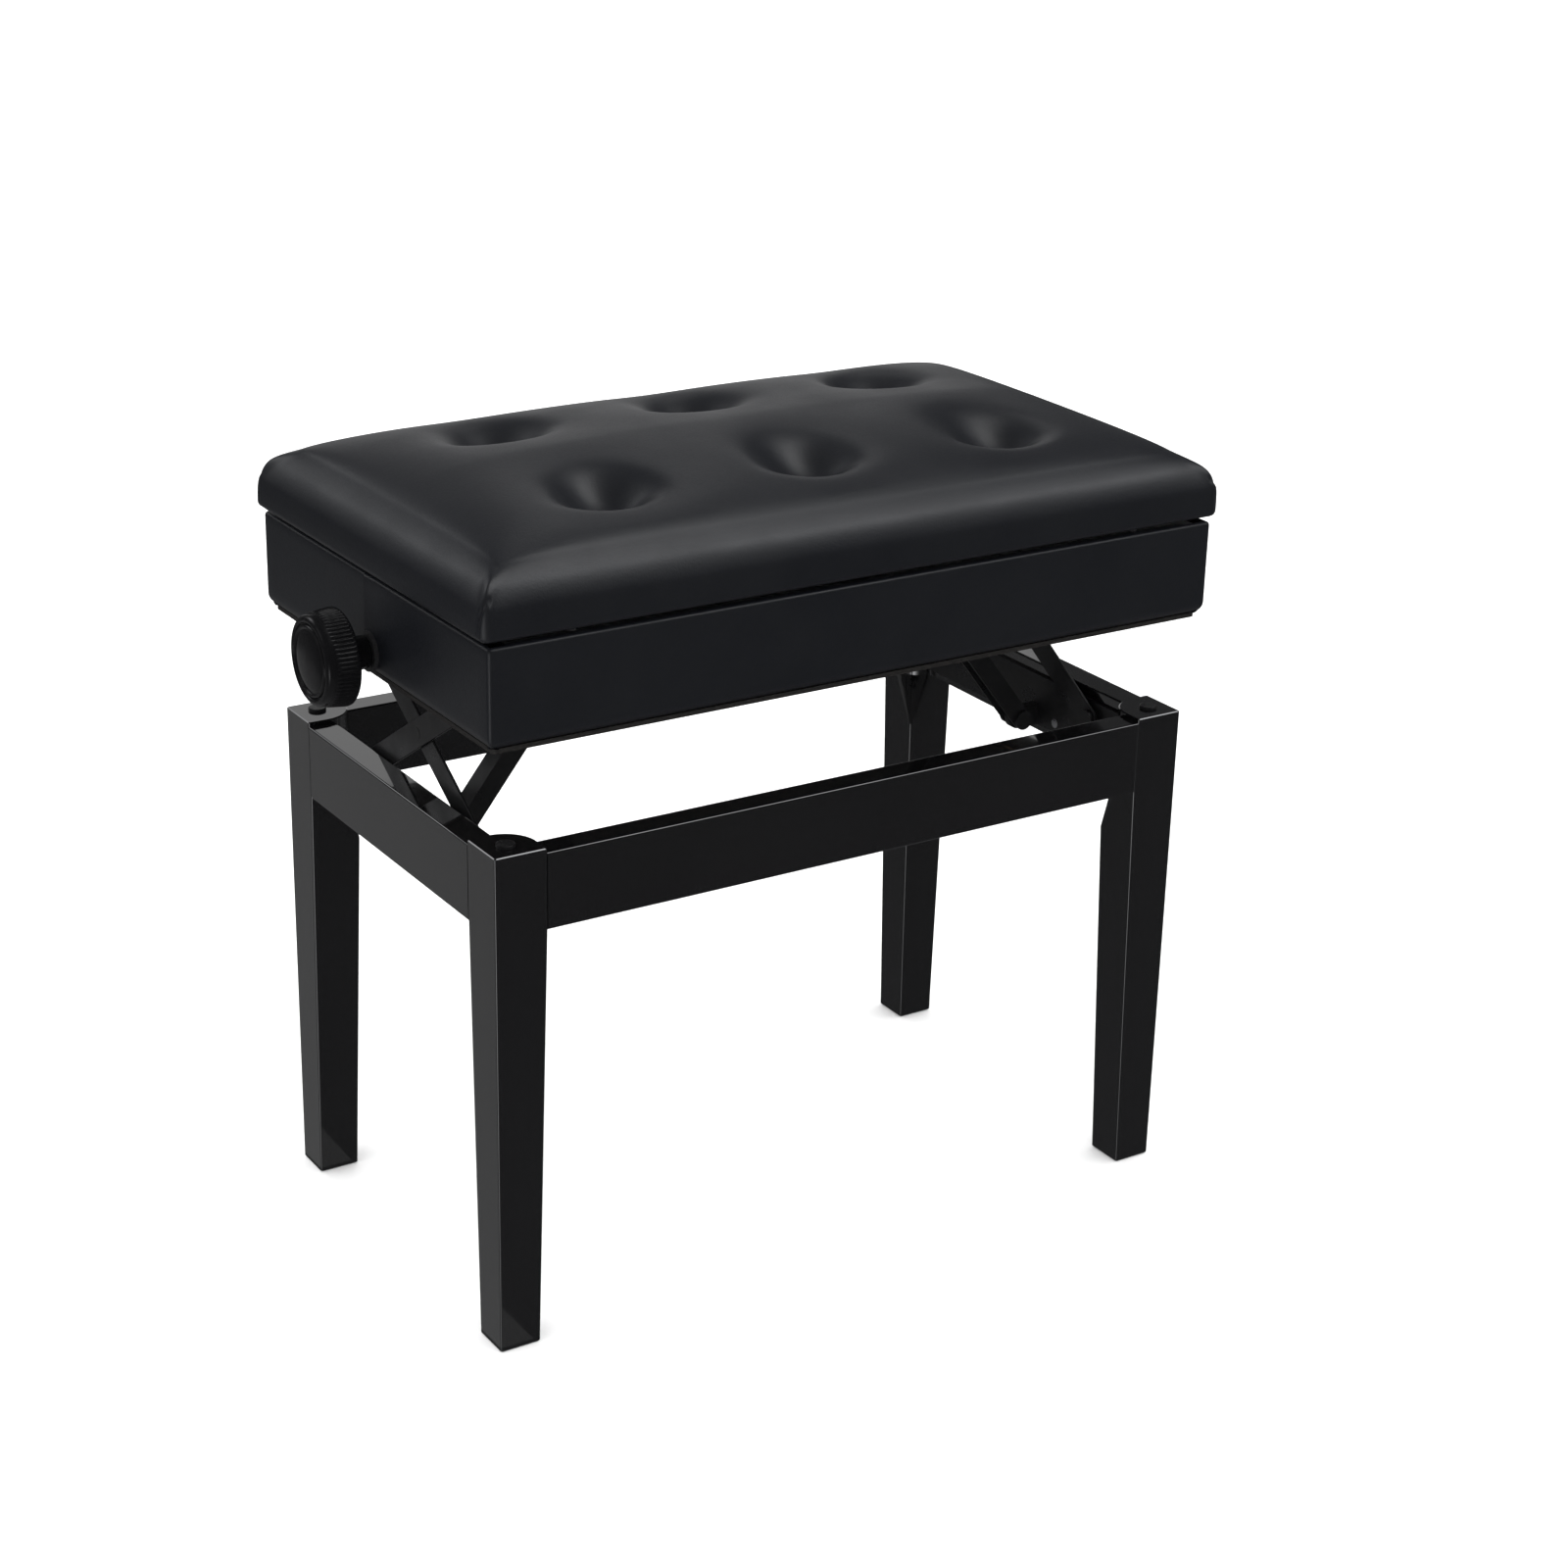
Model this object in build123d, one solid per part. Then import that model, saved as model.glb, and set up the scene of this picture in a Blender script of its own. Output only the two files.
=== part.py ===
from build123d import *
import math
import os

# Piano bench with a height-adjustable storage seat. Millimetres, +Z up, +X along the seat,
# -Y is the front. The origin is on the floor, under the middle of the bench.

# ---- stand ----
FRAME_LENGTH = 527.0        # outside of the legs, along X
FRAME_DEPTH = 302.0         # outside of the legs, along Y
LEG_HEIGHT = 342.5
LEG_TOP = 36.0              # square of a leg from its top down to the rails' lower edge
LEG_FOOT = 28.5             # square of a leg at the floor
LEG_INNER_ROUND = 21.5      # round on the inward corner of a leg, between the rails
LEG_ROUND_RUNOUT = 37.0     # height below the rails in which that round runs out to a point
EDGE_ROUND = 1.2            # broken edges of the lacquered wood
RAIL_HEIGHT = 51.0
RAIL_THICK = 19.5
RAIL_DROP = 3.0             # rails stand this much lower than the leg tops
DOWEL_RADIUS = 4.0
DOWEL_LENGTH = 36.0
DOWEL_PITCH = 26.0          # between the two dowels of a joint
STOP_INSET = 15.5           # seat stop centre, in from a leg's outer faces
STOP_RADIUS = 6.0
STOP_HEIGHT = 2.0
STOP_ROUND = 0.6

# ---- seat box ----
SEAT_DROP = 66.5            # travel from the rest pose down to the stops
STOP_GAP = 0.5              # left between the seat and its stops at the lowest setting
BOX_OVERHANG = 7.0          # box beyond the stand, each end
BOX_OVERHANG_Y = 9.0        # box beyond the stand, front and back
BOX_HEIGHT = 64.0
BOX_EDGE_ROUND = 8.0        # rolled lower edge
BOX_CORNER_ROUND = 3.0
COVER_THICK = 1.5
PANEL_THICK = 12.0
BOTTOM_THICK = 3.0
BOTTOM_INSET = 4.5
FLOOR_THICK = 3.0
FLOOR_HEIGHT = 32.5         # storage floor above the bottom panel
CLEAT = 10.0

# ---- lid ----
LID_GAP = 2.6
LID_OVERHANG = 4.5
LID_OVERHANG_Y = 2.0
LID_BOARD = 10.0
LID_LINING = 0.8
LINING_INSET = 12.0
HEM = 20.0                  # width of cover turned in under the lid board
LID_HEIGHT = 60.4           # underside of the lid to the flat of the cushion
LID_CORNER_ROUND = 7.0
LID_TOP_ROUND = 20.0
LID_LOWER_ROUND = 4.0
BUMPER_RADIUS = 3.0
BUMPER_INSET = 0.5          # bumpers, out from the box's inner face
BUMPER_GAP = 0.1            # left under the closed lid
BUMPER_END_INSET = 60.0     # lid bumpers, in from the box corners
HINGE_LENGTH = 60.0
HINGE_END_INSET = 90.0
LEAF_THICK = 1.0
LEAF_WIDTH = 9.5
KNUCKLES = 5
KNUCKLE_RADIUS = 1.25
KNUCKLE_NOTCH = 1.0         # leaf cut away in front of the other leaf's knuckles
KNUCKLE_PLAY = 0.1
HINGE_PIN_RADIUS = 0.6
HINGE_INSET = 3.0           # hinge axis in from the lid's back

# ---- lifting gear ----
PLATE_THICK = 2.5           # slotted plates on the end rails and in the box
PLATE_FOOT = 6.0            # base plate above the rails' lower edge
PLATE_HEAD = 12.5           # plates above their pivots
PLATE_REST = 0.5            # upper plate above the bottom panel
PLATE_SCREW_RISE = 7.0      # base plate's screws above its lower edge
ARM_THICK = 2.0
ARM_WIDTH = 18.0
SHEET_EDGE = 0.35           # broken edges of the arms
ARM_GAP = 0.3               # between neighbouring sheets
LOW_PIVOT_DROP = 20.4       # lower pivots below the rails' top edge
HIGH_PIVOT_RISE = 6.4       # upper pivots above the bottom panel
ARM_LEG_GAP = 1.8           # arm end to the rear leg at the lowest setting
FRONT_MARGIN = 20.0         # front pivots, in from where the rear ones may go
PIN_RADIUS = 4.0
PIN_HEAD_RADIUS = 7.0
PIN_HEAD = 2.0
RIVET_HEAD_RADIUS = 8.0
RUNNING_GAP = 0.06          # radial, round pivot pins
SLOT_GAP = 0.25             # radial, round sliding pins
SPINDLE_RISE = 15.0         # spindle axis above the bottom panel
SPINDLE_RADIUS = 6.0
NUT_BORE_GAP = 2.2          # radial room in a nut, where the lifting loop is left open
NUT_LENGTH = 20.0
NUT_WIDTH = 19.0
NUT_HEIGHT = 22.0
NUT_ROUND = 3.0
LINK_LENGTH = 161.8         # pivot to pivot of a lifting link
LINK_FOOT_RISE = 13.5       # link foot pivot above the rails' lower edge
LINK_FOOT_REACH = 19.0      # link foot pivot in from the end rail
LINK_DEPTH = 14.0
LINK_WIDTH = 15.5
LINK_SHEET = 1.8
LINK_OFFSET = 1.0           # link to nut, along Y
LUG_THICK = 6.0
LUG_RADIUS = 8.0
SLOT_SIDE = 5.0             # room beside the arms and links in the bottom panel
LINK_SLOT_OUT = 39.0        # link's slot, outward of the nut's highest place
LINK_SLOT_IN = 17.0         # and inward of its lowest place
BUSH_RADIUS = 9.0
BUSH_FLANGE_RADIUS = 13.0
BUSH_FLANGE = 3.0
THROUGH_GAP = 2.0           # radial room round the spindle in what it only passes
KNOB_STANDOFF = 19.5        # knob's back from the box
KNOB_DEPTH = 24.0
KNOB_RADIUS = 31.4
KNOB_FACE_RADIUS = 28.3
KNOB_BOSS_RADIUS = 10.5
KNOB_BOSS_FLARE = 1.0
KNOB_BOSS_GAP = 0.5         # boss to the bush's flange
KNOB_EDGE = 1.5             # broken edge of the rim's back
KNOB_WAIST = 0.6            # share of the depth at which the rim starts to taper
KNOB_WAIST_DROP = 0.8
KNOB_FACE_EDGE = 2.5
KNOB_DOME = 1.0
KNOB_GRIP = 14.0            # spindle's reach into the knob
SCREW_RADIUS = 1.8
SCREW_HEAD_RADIUS = 3.4
SCREW_HEAD = 1.6
SCREW_LENGTH = 11.0
SCREW_ROOM = 0.05           # radial, round a screw or a dowel
BOTTOM_SCREW_END = 65.0     # bottom panel's screws, in from the box's ends
BOTTOM_SCREW_OUT = 4.0      # and out from its inner faces

# ---- places worked out from the sizes ----
half_x = FRAME_LENGTH / 2
half_y = FRAME_DEPTH / 2
rail_top = LEG_HEIGHT - RAIL_DROP
rail_low = rail_top - RAIL_HEIGHT
rail_in_x = half_x - RAIL_THICK
rail_in_y = half_y - RAIL_THICK
leg_in_x = half_x - LEG_TOP
leg_in_y = half_y - LEG_TOP
bottom_low = LEG_HEIGHT + STOP_HEIGHT + STOP_GAP + SEAT_DROP
box_low = bottom_low + BOTTOM_THICK
box_top = box_low + BOX_HEIGHT
box_x = half_x + BOX_OVERHANG
box_y = half_y + BOX_OVERHANG_Y
wood_x = box_x - COVER_THICK
wood_y = box_y - COVER_THICK
room_x = wood_x - PANEL_THICK
room_y = wood_y - PANEL_THICK
wood_top = box_top - COVER_THICK
floor_low = box_low + FLOOR_HEIGHT
lid_low = box_top + LID_GAP
lid_x = box_x + LID_OVERHANG
lid_y = box_y + LID_OVERHANG_Y
low_z = rail_top - LOW_PIVOT_DROP
high_z = box_low + HIGH_PIVOT_RISE
slide_far_y = leg_in_y - ARM_WIDTH / 2 - ARM_LEG_GAP
fixed_y = FRONT_MARGIN - slide_far_y
arm_length = math.hypot(slide_far_y - fixed_y, high_z - low_z - SEAT_DROP)
arm_angle = math.asin((high_z - low_z) / arm_length)
slide_near_y = fixed_y + arm_length * math.cos(arm_angle)
middle_y = (fixed_y + slide_near_y) / 2
middle_z = (low_z + high_z) / 2
plate_in_x = rail_in_x - PLATE_THICK
outer_arm_x = plate_in_x - ARM_GAP - ARM_THICK          # inward face of an outer arm
inner_arm_x = outer_arm_x - ARM_GAP - ARM_THICK         # inward face of an inner arm
spindle_z = box_low + SPINDLE_RISE
foot_x = rail_in_x - LINK_FOOT_REACH
foot_z = rail_low + LINK_FOOT_RISE
link_angle = math.asin((spindle_z - foot_z) / LINK_LENGTH)
low_link_angle = math.asin((spindle_z - SEAT_DROP - foot_z) / LINK_LENGTH)
nut_x = foot_x - LINK_LENGTH * math.cos(link_angle)
low_nut_x = foot_x - LINK_LENGTH * math.cos(low_link_angle)
link_back_y = -NUT_WIDTH / 2 - LINK_OFFSET
link_front_y = link_back_y - LINK_WIDTH
link_mid_y = (link_back_y + link_front_y) / 2
hinge_y = lid_y - HINGE_INSET
hinge_z = box_top + LID_GAP / 2


def block(x0, x1, y0, y1, z0, z1):
    """A box between two corners."""
    return Pos((x0 + x1) / 2, (y0 + y1) / 2, (z0 + z1) / 2) * Box(abs(x1 - x0), abs(y1 - y0), abs(z1 - z0))


def rod(axis, start, end, radius, a, b):
    """A round bar along X, Y or Z from start to end, at the other two coordinates a and b."""
    middle = (start + end) / 2
    bar = Cylinder(radius, abs(end - start))
    if axis == "X":
        return Pos(middle, a, b) * Rot(0, 90, 0) * bar
    if axis == "Y":
        return Pos(a, middle, b) * Rot(90, 0, 0) * bar
    return Pos(a, b, middle) * bar


def screw(axis, face, inward, a, b, extra=0.0):
    """A screw or, with extra room, its hole: the head is flush with face, the shank goes inward."""
    head = rod(axis, face, face + inward * SCREW_HEAD, SCREW_HEAD_RADIUS + extra, a, b)
    shank = rod(axis, face, face + inward * (SCREW_LENGTH + extra), SCREW_RADIUS + extra, a, b)
    return head + shank


def other_end(shape):
    """The same piece at the bench's right end."""
    return mirror(shape, about=Plane.YZ)


def leg_section(width, inner_round, z, inset=0.0):
    """A leg's section, with its outer corner at the origin and its inner one towards +X +Y."""
    side = width - 2 * inset
    square = Pos(width / 2, width / 2, z) * Rectangle(side, side)
    inner = square.vertices().sort_by(lambda v: v.X + v.Y)[-1:]
    section = fillet(inner, max(inner_round, EDGE_ROUND))
    outer = section.vertices().filter_by(lambda v: min(v.X, v.Y) < inset + 0.01)
    return fillet(outer, EDGE_ROUND)


parts = {}

# ---- legs: tapered below the rails on the two inward faces ----
runout_z = rail_low - LEG_ROUND_RUNOUT
runout_width = LEG_FOOT + (LEG_TOP - LEG_FOOT) * runout_z / rail_low
levels = [
    leg_section(LEG_FOOT, 0, 0, EDGE_ROUND),
    leg_section(LEG_FOOT, 0, EDGE_ROUND),
    leg_section(runout_width, 0, runout_z),
    leg_section(LEG_TOP, LEG_INNER_ROUND, rail_low),
    leg_section(LEG_TOP, LEG_INNER_ROUND, LEG_HEIGHT - EDGE_ROUND / 2),
    leg_section(LEG_TOP, LEG_INNER_ROUND, LEG_HEIGHT, EDGE_ROUND / 2),
]
leg_at_origin = loft(levels, ruled=True)

dowels = []
dowel_holes = []
joint_z = (rail_top + rail_low) / 2
for side_x in (-1, 1):
    for side_y in (-1, 1):
        for z in (joint_z - DOWEL_PITCH / 2, joint_z + DOWEL_PITCH / 2):
            mid_x = side_x * leg_in_x
            mid_y = side_y * leg_in_y
            rail_y = side_y * (half_y - RAIL_THICK / 2)
            rail_x = side_x * (half_x - RAIL_THICK / 2)
            # in the leg the two rails' dowels stop short of each other
            for extra, group in ((0.0, dowels), (SCREW_ROOM, dowel_holes)):
                reach = DOWEL_LENGTH / 2 + extra
                group.append(rod("X", mid_x - reach, mid_x + reach, DOWEL_RADIUS + extra, rail_y, z))
                group.append(rod("Y", mid_y - reach, mid_y + reach, DOWEL_RADIUS + extra, rail_x, z))
parts["rail_dowels"] = Compound(dowels)

stops = []
for side_x, end in ((-1, "left"), (1, "right")):
    for side_y, row in ((-1, "front"), (1, "rear")):
        leg = Pos(-half_x, -half_y, 0) * leg_at_origin
        if side_x > 0:
            leg = mirror(leg, about=Plane.YZ)
        if side_y > 0:
            leg = mirror(leg, about=Plane.XZ)
        for hole in dowel_holes:
            leg -= hole
        parts[f"leg_{row}_{end}"] = leg
        stop_x = side_x * (half_x - STOP_INSET)
        stop_y = side_y * (half_y - STOP_INSET)
        stop = rod("Z", LEG_HEIGHT, LEG_HEIGHT + STOP_HEIGHT, STOP_RADIUS, stop_x, stop_y)
        stops.append(fillet(stop.faces().sort_by(Axis.Z)[-1].edges(), STOP_ROUND))
parts["seat_stops"] = Compound(stops)


# ---- rails ----
def rail(x0, x1, y0, y1, along):
    """A rail with broken long edges and its dowel holes."""
    body = block(x0, x1, y0, y1, rail_low, rail_top)
    body = fillet(body.edges().filter_by(along), EDGE_ROUND)
    for hole in dowel_holes:
        body -= hole
    return body


parts["rail_front"] = rail(-leg_in_x, leg_in_x, -half_y, -rail_in_y, Axis.X)
parts["rail_rear"] = rail(-leg_in_x, leg_in_x, rail_in_y, half_y, Axis.X)
end_rail = rail(-half_x, -rail_in_x, -leg_in_y, leg_in_y, Axis.Y)

# ---- slotted base plate, its lug and the fixed pivot, at the left end ----
plate_y = leg_in_y - ARM_LEG_GAP
plate_low = rail_low + PLATE_FOOT
screw_places = (fixed_y, fixed_y / 2, slide_near_y / 2)
slot_radius = PIN_RADIUS + SLOT_GAP


def slotted_plate(z0, z1, pivot_z):
    """A plate with the front pivot's hole and the rear slot, on the left end's plane."""
    plate = block(-rail_in_x, -plate_in_x, -plate_y, plate_y, z0, z1)
    plate -= rod("X", -rail_in_x, -plate_in_x, PIN_RADIUS, fixed_y, pivot_z)
    slot_low = pivot_z - slot_radius
    plate -= block(-rail_in_x, -plate_in_x, slide_near_y, slide_far_y, slot_low, pivot_z + slot_radius)
    for y in (slide_near_y, slide_far_y):
        plate -= rod("X", -rail_in_x, -plate_in_x, slot_radius, y, pivot_z)
    return plate


base_plate = slotted_plate(plate_low, low_z + PLATE_HEAD, low_z)
lug = block(-plate_in_x, -foot_x, link_mid_y - LUG_THICK / 2, link_mid_y + LUG_THICK / 2,
            foot_z - LUG_RADIUS, foot_z + LUG_RADIUS)
lug += rod("Y", link_mid_y - LUG_THICK / 2, link_mid_y + LUG_THICK / 2, LUG_RADIUS, -foot_x, foot_z)
lug -= rod("Y", link_mid_y - LUG_THICK / 2, link_mid_y + LUG_THICK / 2, PIN_RADIUS, -foot_x, foot_z)

base_screws = []
for y in screw_places:
    place = (y, plate_low + PLATE_SCREW_RISE)
    base_screws.append(screw("X", -plate_in_x, -1, *place))
    hole = screw("X", -plate_in_x, -1, *place, SCREW_ROOM)
    base_plate -= hole
    end_rail -= hole
parts["rail_left"] = end_rail
parts["rail_right"] = other_end(end_rail)
parts["base_plate_left"] = base_plate
parts["base_plate_right"] = other_end(base_plate)
parts["link_lugs"] = Compound([lug, other_end(lug)])
parts["base_plate_screws"] = Compound(base_screws + [other_end(s) for s in base_screws])

base_pin = rod("X", -rail_in_x, -inner_arm_x, PIN_RADIUS, fixed_y, low_z)
base_pin += rod("X", -plate_in_x, -outer_arm_x, PIN_HEAD_RADIUS, fixed_y, low_z)
base_head = -inner_arm_x + ARM_GAP
base_pin += rod("X", base_head, base_head + PIN_HEAD, PIN_HEAD_RADIUS, fixed_y, low_z)
base_pin += rod("X", -inner_arm_x, base_head, PIN_RADIUS, fixed_y, low_z)
parts["base_pivot_pins"] = Compound([base_pin, other_end(base_pin)])

front_head = link_front_y - ARM_GAP
back_head = link_back_y + ARM_GAP
foot_pin = rod("Y", front_head, back_head, PIN_RADIUS, -foot_x, foot_z)
foot_pin += rod("Y", front_head - PIN_HEAD, front_head, PIN_HEAD_RADIUS, -foot_x, foot_z)
foot_pin += rod("Y", back_head, back_head + PIN_HEAD, PIN_HEAD_RADIUS, -foot_x, foot_z)
parts["link_foot_pins"] = Compound([foot_pin, other_end(foot_pin)])


# ---- scissor arms, at the left end ----
def arm(x0, x1, y0, z0, y1, z1):
    """A flat bar with round ends between two pivots in the YZ plane."""
    length = math.hypot(y1 - y0, z1 - z0)
    slope = math.degrees(math.atan2(z1 - z0, y1 - y0))
    bar = Box(x1 - x0, length, ARM_WIDTH)
    for end in (-length / 2, length / 2):
        bar += Pos(0, end, 0) * Rot(0, 90, 0) * Cylinder(ARM_WIDTH / 2, x1 - x0)
    faces = bar.faces().sort_by(Axis.X)
    bar = chamfer(faces[0].edges() + faces[-1].edges(), SHEET_EDGE)
    return Pos((x0 + x1) / 2, (y0 + y1) / 2, (z0 + z1) / 2) * Rot(slope, 0, 0) * bar


def pivot_hole(shape, x0, x1, y, z, radius):
    """Shape with a round hole along X."""
    return shape - rod("X", x0, x1, radius, y, z)


inner_faces = (-inner_arm_x - ARM_THICK, -inner_arm_x)
outer_faces = (-outer_arm_x - ARM_THICK, -outer_arm_x)
inner_arm = arm(*inner_faces, fixed_y, low_z, slide_near_y, high_z)
inner_arm = pivot_hole(inner_arm, *inner_faces, fixed_y, low_z, PIN_RADIUS + RUNNING_GAP)
inner_arm = pivot_hole(inner_arm, *inner_faces, middle_y, middle_z, PIN_RADIUS)
inner_arm = pivot_hole(inner_arm, *inner_faces, slide_near_y, high_z, PIN_RADIUS)
outer_arm = arm(*outer_faces, slide_near_y, low_z, fixed_y, high_z)
outer_arm = pivot_hole(outer_arm, *outer_faces, slide_near_y, low_z, PIN_RADIUS)
outer_arm = pivot_hole(outer_arm, *outer_faces, middle_y, middle_z, PIN_RADIUS + RUNNING_GAP)
outer_arm = pivot_hole(outer_arm, *outer_faces, fixed_y, high_z, PIN_RADIUS + RUNNING_GAP)

# the middle rivet is set in the inner arm, the outer one turns on it
rivet = rod("X", outer_faces[0] - ARM_GAP / 2, inner_faces[1] + PIN_HEAD, PIN_RADIUS, middle_y, middle_z)
rivet += fillet(rod("X", inner_faces[1], inner_faces[1] + PIN_HEAD, RIVET_HEAD_RADIUS, middle_y, middle_z)
                .faces().sort_by(Axis.X)[-1].edges(), PIN_HEAD / 2)
# sliding pins: set in the arms' rear ends, their tips run in the slots
tip_x = -rail_in_x + ARM_GAP
low_slider = rod("X", tip_x, outer_faces[1], PIN_RADIUS, slide_near_y, low_z)
high_slider = rod("X", tip_x, inner_faces[1], PIN_RADIUS, slide_near_y, high_z)
top_pin = rod("X", -rail_in_x, outer_faces[1] + ARM_GAP, PIN_RADIUS, fixed_y, high_z)
top_head = outer_faces[1] + ARM_GAP
top_pin += rod("X", top_head, top_head + PIN_HEAD, PIN_HEAD_RADIUS, fixed_y, high_z)

for name, piece in (("scissor_inner", inner_arm), ("scissor_outer", outer_arm), ("scissor_rivet", rivet),
                    ("slide_pin_low", low_slider), ("slide_pin_high", high_slider)):
    parts[name + "_left"] = piece
    parts[name + "_right"] = other_end(piece)
parts["top_pivot_pins"] = Compound([top_pin, other_end(top_pin)])

# ---- lifting links: a channel each, on the front of its nut ----
link_x = (-foot_x - nut_x) / 2
link_z = (foot_z + spindle_z) / 2
link_frame = Pos(link_x, link_mid_y, link_z) * Rot(0, -math.degrees(link_angle), 0)
link = Box(LINK_LENGTH, LINK_WIDTH, LINK_DEPTH)
for end in (-LINK_LENGTH / 2, LINK_LENGTH / 2):
    link += Pos(end, 0, 0) * Rot(90, 0, 0) * Cylinder(LINK_DEPTH / 2, LINK_WIDTH)
inside = LINK_WIDTH - 2 * LINK_SHEET
link -= Pos(0, 0, -LINK_SHEET) * Box(LINK_LENGTH + 2 * LINK_DEPTH, inside, LINK_DEPTH)
for end in (-LINK_LENGTH / 2, LINK_LENGTH / 2):
    link -= Pos(end, 0, 0) * Rot(90, 0, 0) * Cylinder(PIN_RADIUS + RUNNING_GAP, 2 * LINK_WIDTH)
# the web stops short of the lug at the foot
link -= Pos(-LINK_LENGTH / 2, 0, 0) * Box(4 * LUG_RADIUS, inside, 2 * LINK_DEPTH)
link = link_frame * link

nut = block(-nut_x - NUT_LENGTH / 2, -nut_x + NUT_LENGTH / 2, -NUT_WIDTH / 2, NUT_WIDTH / 2,
            spindle_z - NUT_HEIGHT / 2, spindle_z + NUT_HEIGHT / 2)
nut = fillet(nut.edges().filter_by(Axis.X), NUT_ROUND)
nut -= rod("X", -nut_x - NUT_LENGTH, -nut_x + NUT_LENGTH, SPINDLE_RADIUS + NUT_BORE_GAP, 0, spindle_z)
stud = rod("Y", -NUT_WIDTH / 2, front_head, PIN_RADIUS, -nut_x, spindle_z)
stud += rod("Y", front_head, front_head - PIN_HEAD, PIN_HEAD_RADIUS, -nut_x, spindle_z)
for name, piece in (("lifting_link", link), ("spindle_nut", nut), ("nut_stud", stud)):
    parts[name + "_left"] = piece
    parts[name + "_right"] = other_end(piece)

# ---- seat box: four panels inside one stretched cover ----
solid_wood = block(-wood_x, wood_x, -wood_y, wood_y, box_low, wood_top)
solid_wood = fillet(solid_wood.edges().filter_by(Axis.Z), BOX_CORNER_ROUND - COVER_THICK)
solid_wood = fillet(solid_wood.faces().sort_by(Axis.Z)[0].edges(), BOX_EDGE_ROUND - COVER_THICK)
solid_cover = block(-box_x, box_x, -box_y, box_y, box_low, box_top)
solid_cover = fillet(solid_cover.edges().filter_by(Axis.Z), BOX_CORNER_ROUND)
solid_cover = fillet(solid_cover.faces().sort_by(Axis.Z)[0].edges(), BOX_EDGE_ROUND)
room = block(-room_x, room_x, -room_y, room_y, box_low - 1, box_top + 1)
cover = solid_cover - room - solid_wood
ring = solid_wood - room
box_ends = []
for side in (-1, 1):
    box_ends.append(ring & block(side * room_x, side * box_x, -room_y, room_y, box_low, box_top))
box_left, box_right = box_ends
box_front = ring & block(-box_x, box_x, -box_y, -room_y, box_low, box_top)
box_rear = ring & block(-box_x, box_x, room_y, box_y, box_low, box_top)

floor = block(-room_x, room_x, -room_y, room_y, floor_low, floor_low + FLOOR_THICK)
end_block = block(-room_x, -rail_in_x, -room_y, room_y, box_low, floor_low)
end_block -= rod("X", -room_x, -rail_in_x, SPINDLE_RADIUS + THROUGH_GAP, 0, spindle_z)
cleat = block(-rail_in_x, rail_in_x, -room_y, -room_y + CLEAT, floor_low - CLEAT, floor_low)

top_plate = slotted_plate(box_low + PLATE_REST, high_z + PLATE_HEAD, high_z)
top_plate -= rod("X", -rail_in_x, -plate_in_x, SPINDLE_RADIUS + THROUGH_GAP, 0, spindle_z)
top_screws = []
for y in screw_places[1:]:
    place = (y, high_z)
    top_screws.append(screw("X", -plate_in_x, -1, *place))
    hole = screw("X", -plate_in_x, -1, *place, SCREW_ROOM)
    top_plate -= hole
    end_block -= hole

# bottom panel: slots for the scissor arms and for the links
bottom = block(-box_x + BOTTOM_INSET, box_x - BOTTOM_INSET, -box_y + BOTTOM_INSET, box_y - BOTTOM_INSET,
               bottom_low, box_low)
bottom = fillet(bottom.edges().filter_by(Axis.Z), BOX_CORNER_ROUND)
arm_slot = block(-rail_in_x, -inner_arm_x + SLOT_SIDE, fixed_y - ARM_WIDTH, slide_far_y + ARM_WIDTH,
                 bottom_low, box_low)
link_slot = block(-nut_x - LINK_SLOT_OUT, -low_nut_x + LINK_SLOT_IN,
                  link_front_y - SLOT_SIDE, link_back_y + SLOT_SIDE, bottom_low, box_low)
for slot in (arm_slot, link_slot):
    bottom -= slot
    bottom -= other_end(slot)
bottom_screws = []
for x in (BOTTOM_SCREW_END - box_x, 0, box_x - BOTTOM_SCREW_END):
    for side in (-1, 1):
        place = (x, side * (room_y + BOTTOM_SCREW_OUT))
        bottom_screws.append(screw("Z", bottom_low, 1, *place))
        hole = screw("Z", bottom_low, 1, *place, SCREW_ROOM)
        bottom -= hole
        box_front -= hole
        box_rear -= hole

# ---- spindle, its bushes and the two knobs ----
knob_back = box_x + KNOB_STANDOFF
knob_face = knob_back + KNOB_DEPTH
bush = rod("X", -room_x, -box_x, BUSH_RADIUS, 0, spindle_z)
bush += rod("X", -box_x, -box_x - BUSH_FLANGE, BUSH_FLANGE_RADIUS, 0, spindle_z)
bush -= rod("X", -room_x, -box_x - BUSH_FLANGE, SPINDLE_RADIUS + RUNNING_GAP, 0, spindle_z)
bush_hole = rod("X", -room_x, -box_x - 1, BUSH_RADIUS, 0, spindle_z)
box_left -= bush_hole
box_right -= other_end(bush_hole)
cover -= bush_hole
cover -= other_end(bush_hole)
spindle_end = knob_back + KNOB_GRIP
parts["spindle"] = rod("X", -spindle_end, spindle_end, SPINDLE_RADIUS, 0, spindle_z)

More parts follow.
